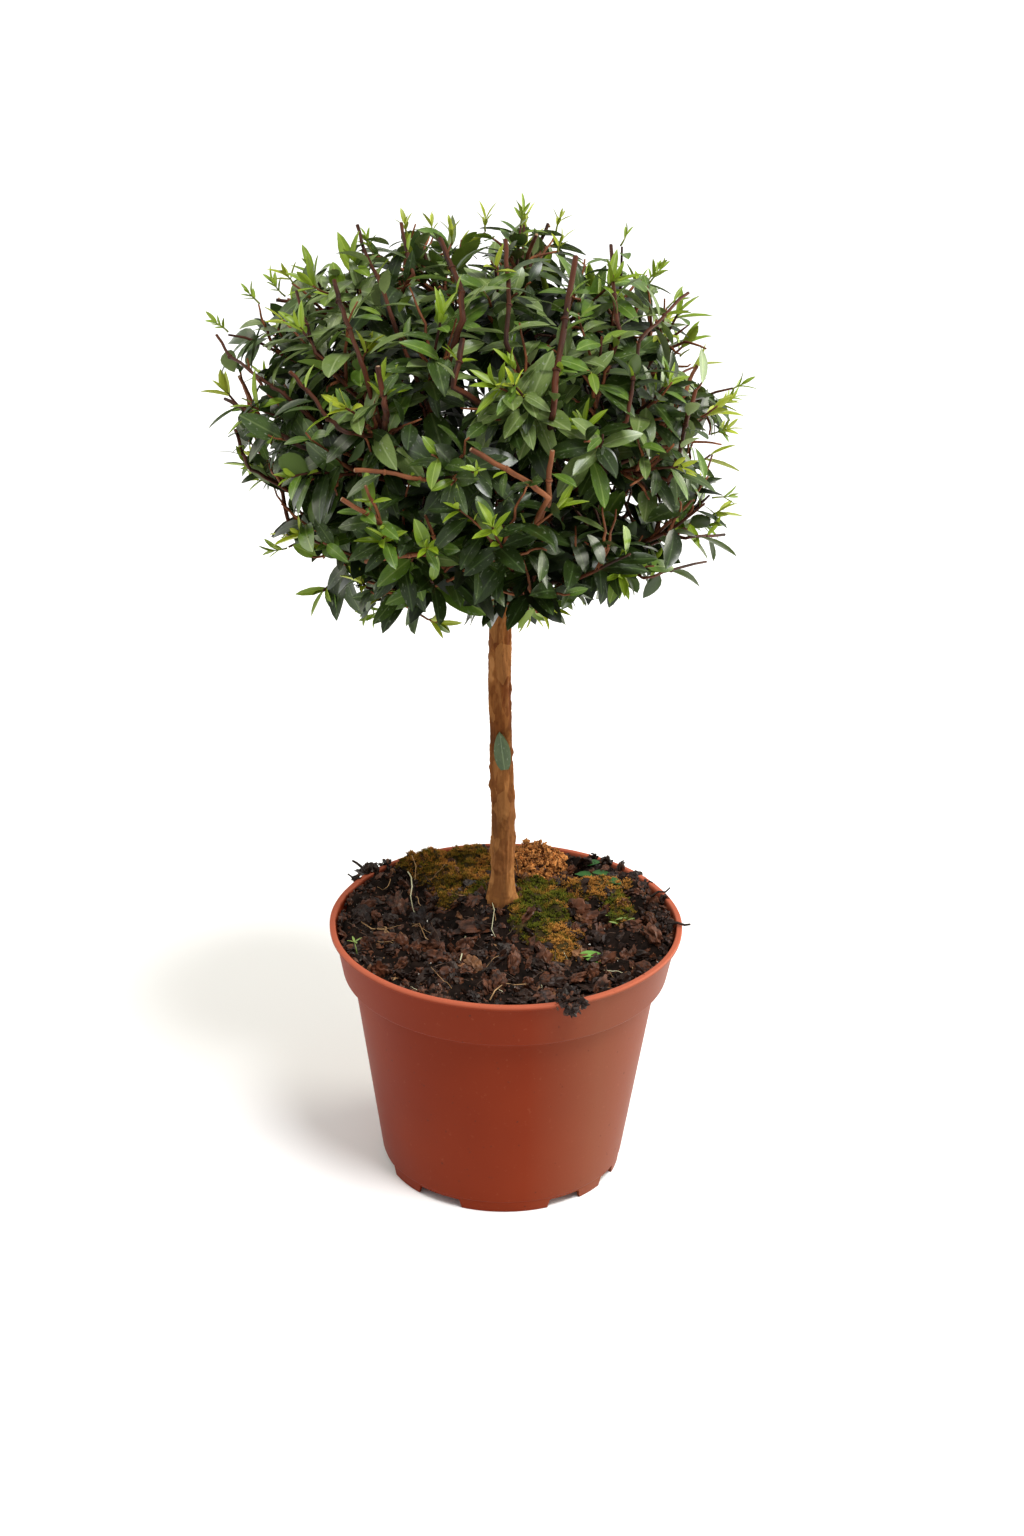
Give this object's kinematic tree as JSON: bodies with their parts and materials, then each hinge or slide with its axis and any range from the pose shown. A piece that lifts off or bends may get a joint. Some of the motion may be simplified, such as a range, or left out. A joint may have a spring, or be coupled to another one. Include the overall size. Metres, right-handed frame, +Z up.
{
  "type": "standard lollipop topiary, a potted myrtle",
  "caption": "Standard (lollipop) myrtle topiary: a clipped ball of small glossy leaves on one bare trunk, growing in a round terracotta-coloured plastic nursery pot.",
  "frame": {"origin": "centre of the pot's flat underside, on the surface it stands on", "axes": "+Z up along the pot's axis and the trunk, -Y the front that the picture shows, +X to the right of that view"},
  "size_m": [0.2257, 0.2194, 0.4155],
  "materials": {
    "pot_plastic": "satin",
    "compost": "rough, moist bark-based potting compost",
    "moss": "rough",
    "bark": "rough, flaking bark",
    "leaf": "glossy leaf"
  },
  "bodies": {
    "root": {"pot": "pot_plastic", "compost": "compost", "moss_back_left": "moss", "moss_back": "moss", "moss_front": "moss", "moss_right": "moss", "trunk": "bark", "trunk_leaf": "leaf", "bough_low_1": "bark", "bough_low_2": "bark", "bough_low_3": "bark", "bough_low_4": "bark", "bough_low_5": "bark", "bough_low_6": "bark", "bough_low_7": "bark", "bough_high_1": "bark", "bough_high_2": "bark", "bough_high_3": "bark", "bough_high_4": "bark", "bough_high_5": "bark", "bough_top_1": "bark", "foliage_low_1": "leaf", "foliage_low_2": "leaf", "foliage_low_3": "leaf", "foliage_low_4": "leaf", "foliage_low_5": "leaf", "foliage_low_6": "leaf", "foliage_low_7": "leaf", "foliage_high_1": "leaf", "foliage_high_2": "leaf", "foliage_high_3": "leaf", "foliage_high_4": "leaf", "foliage_high_5": "leaf", "foliage_top_1": "leaf"}
  },
  "joints": []
}
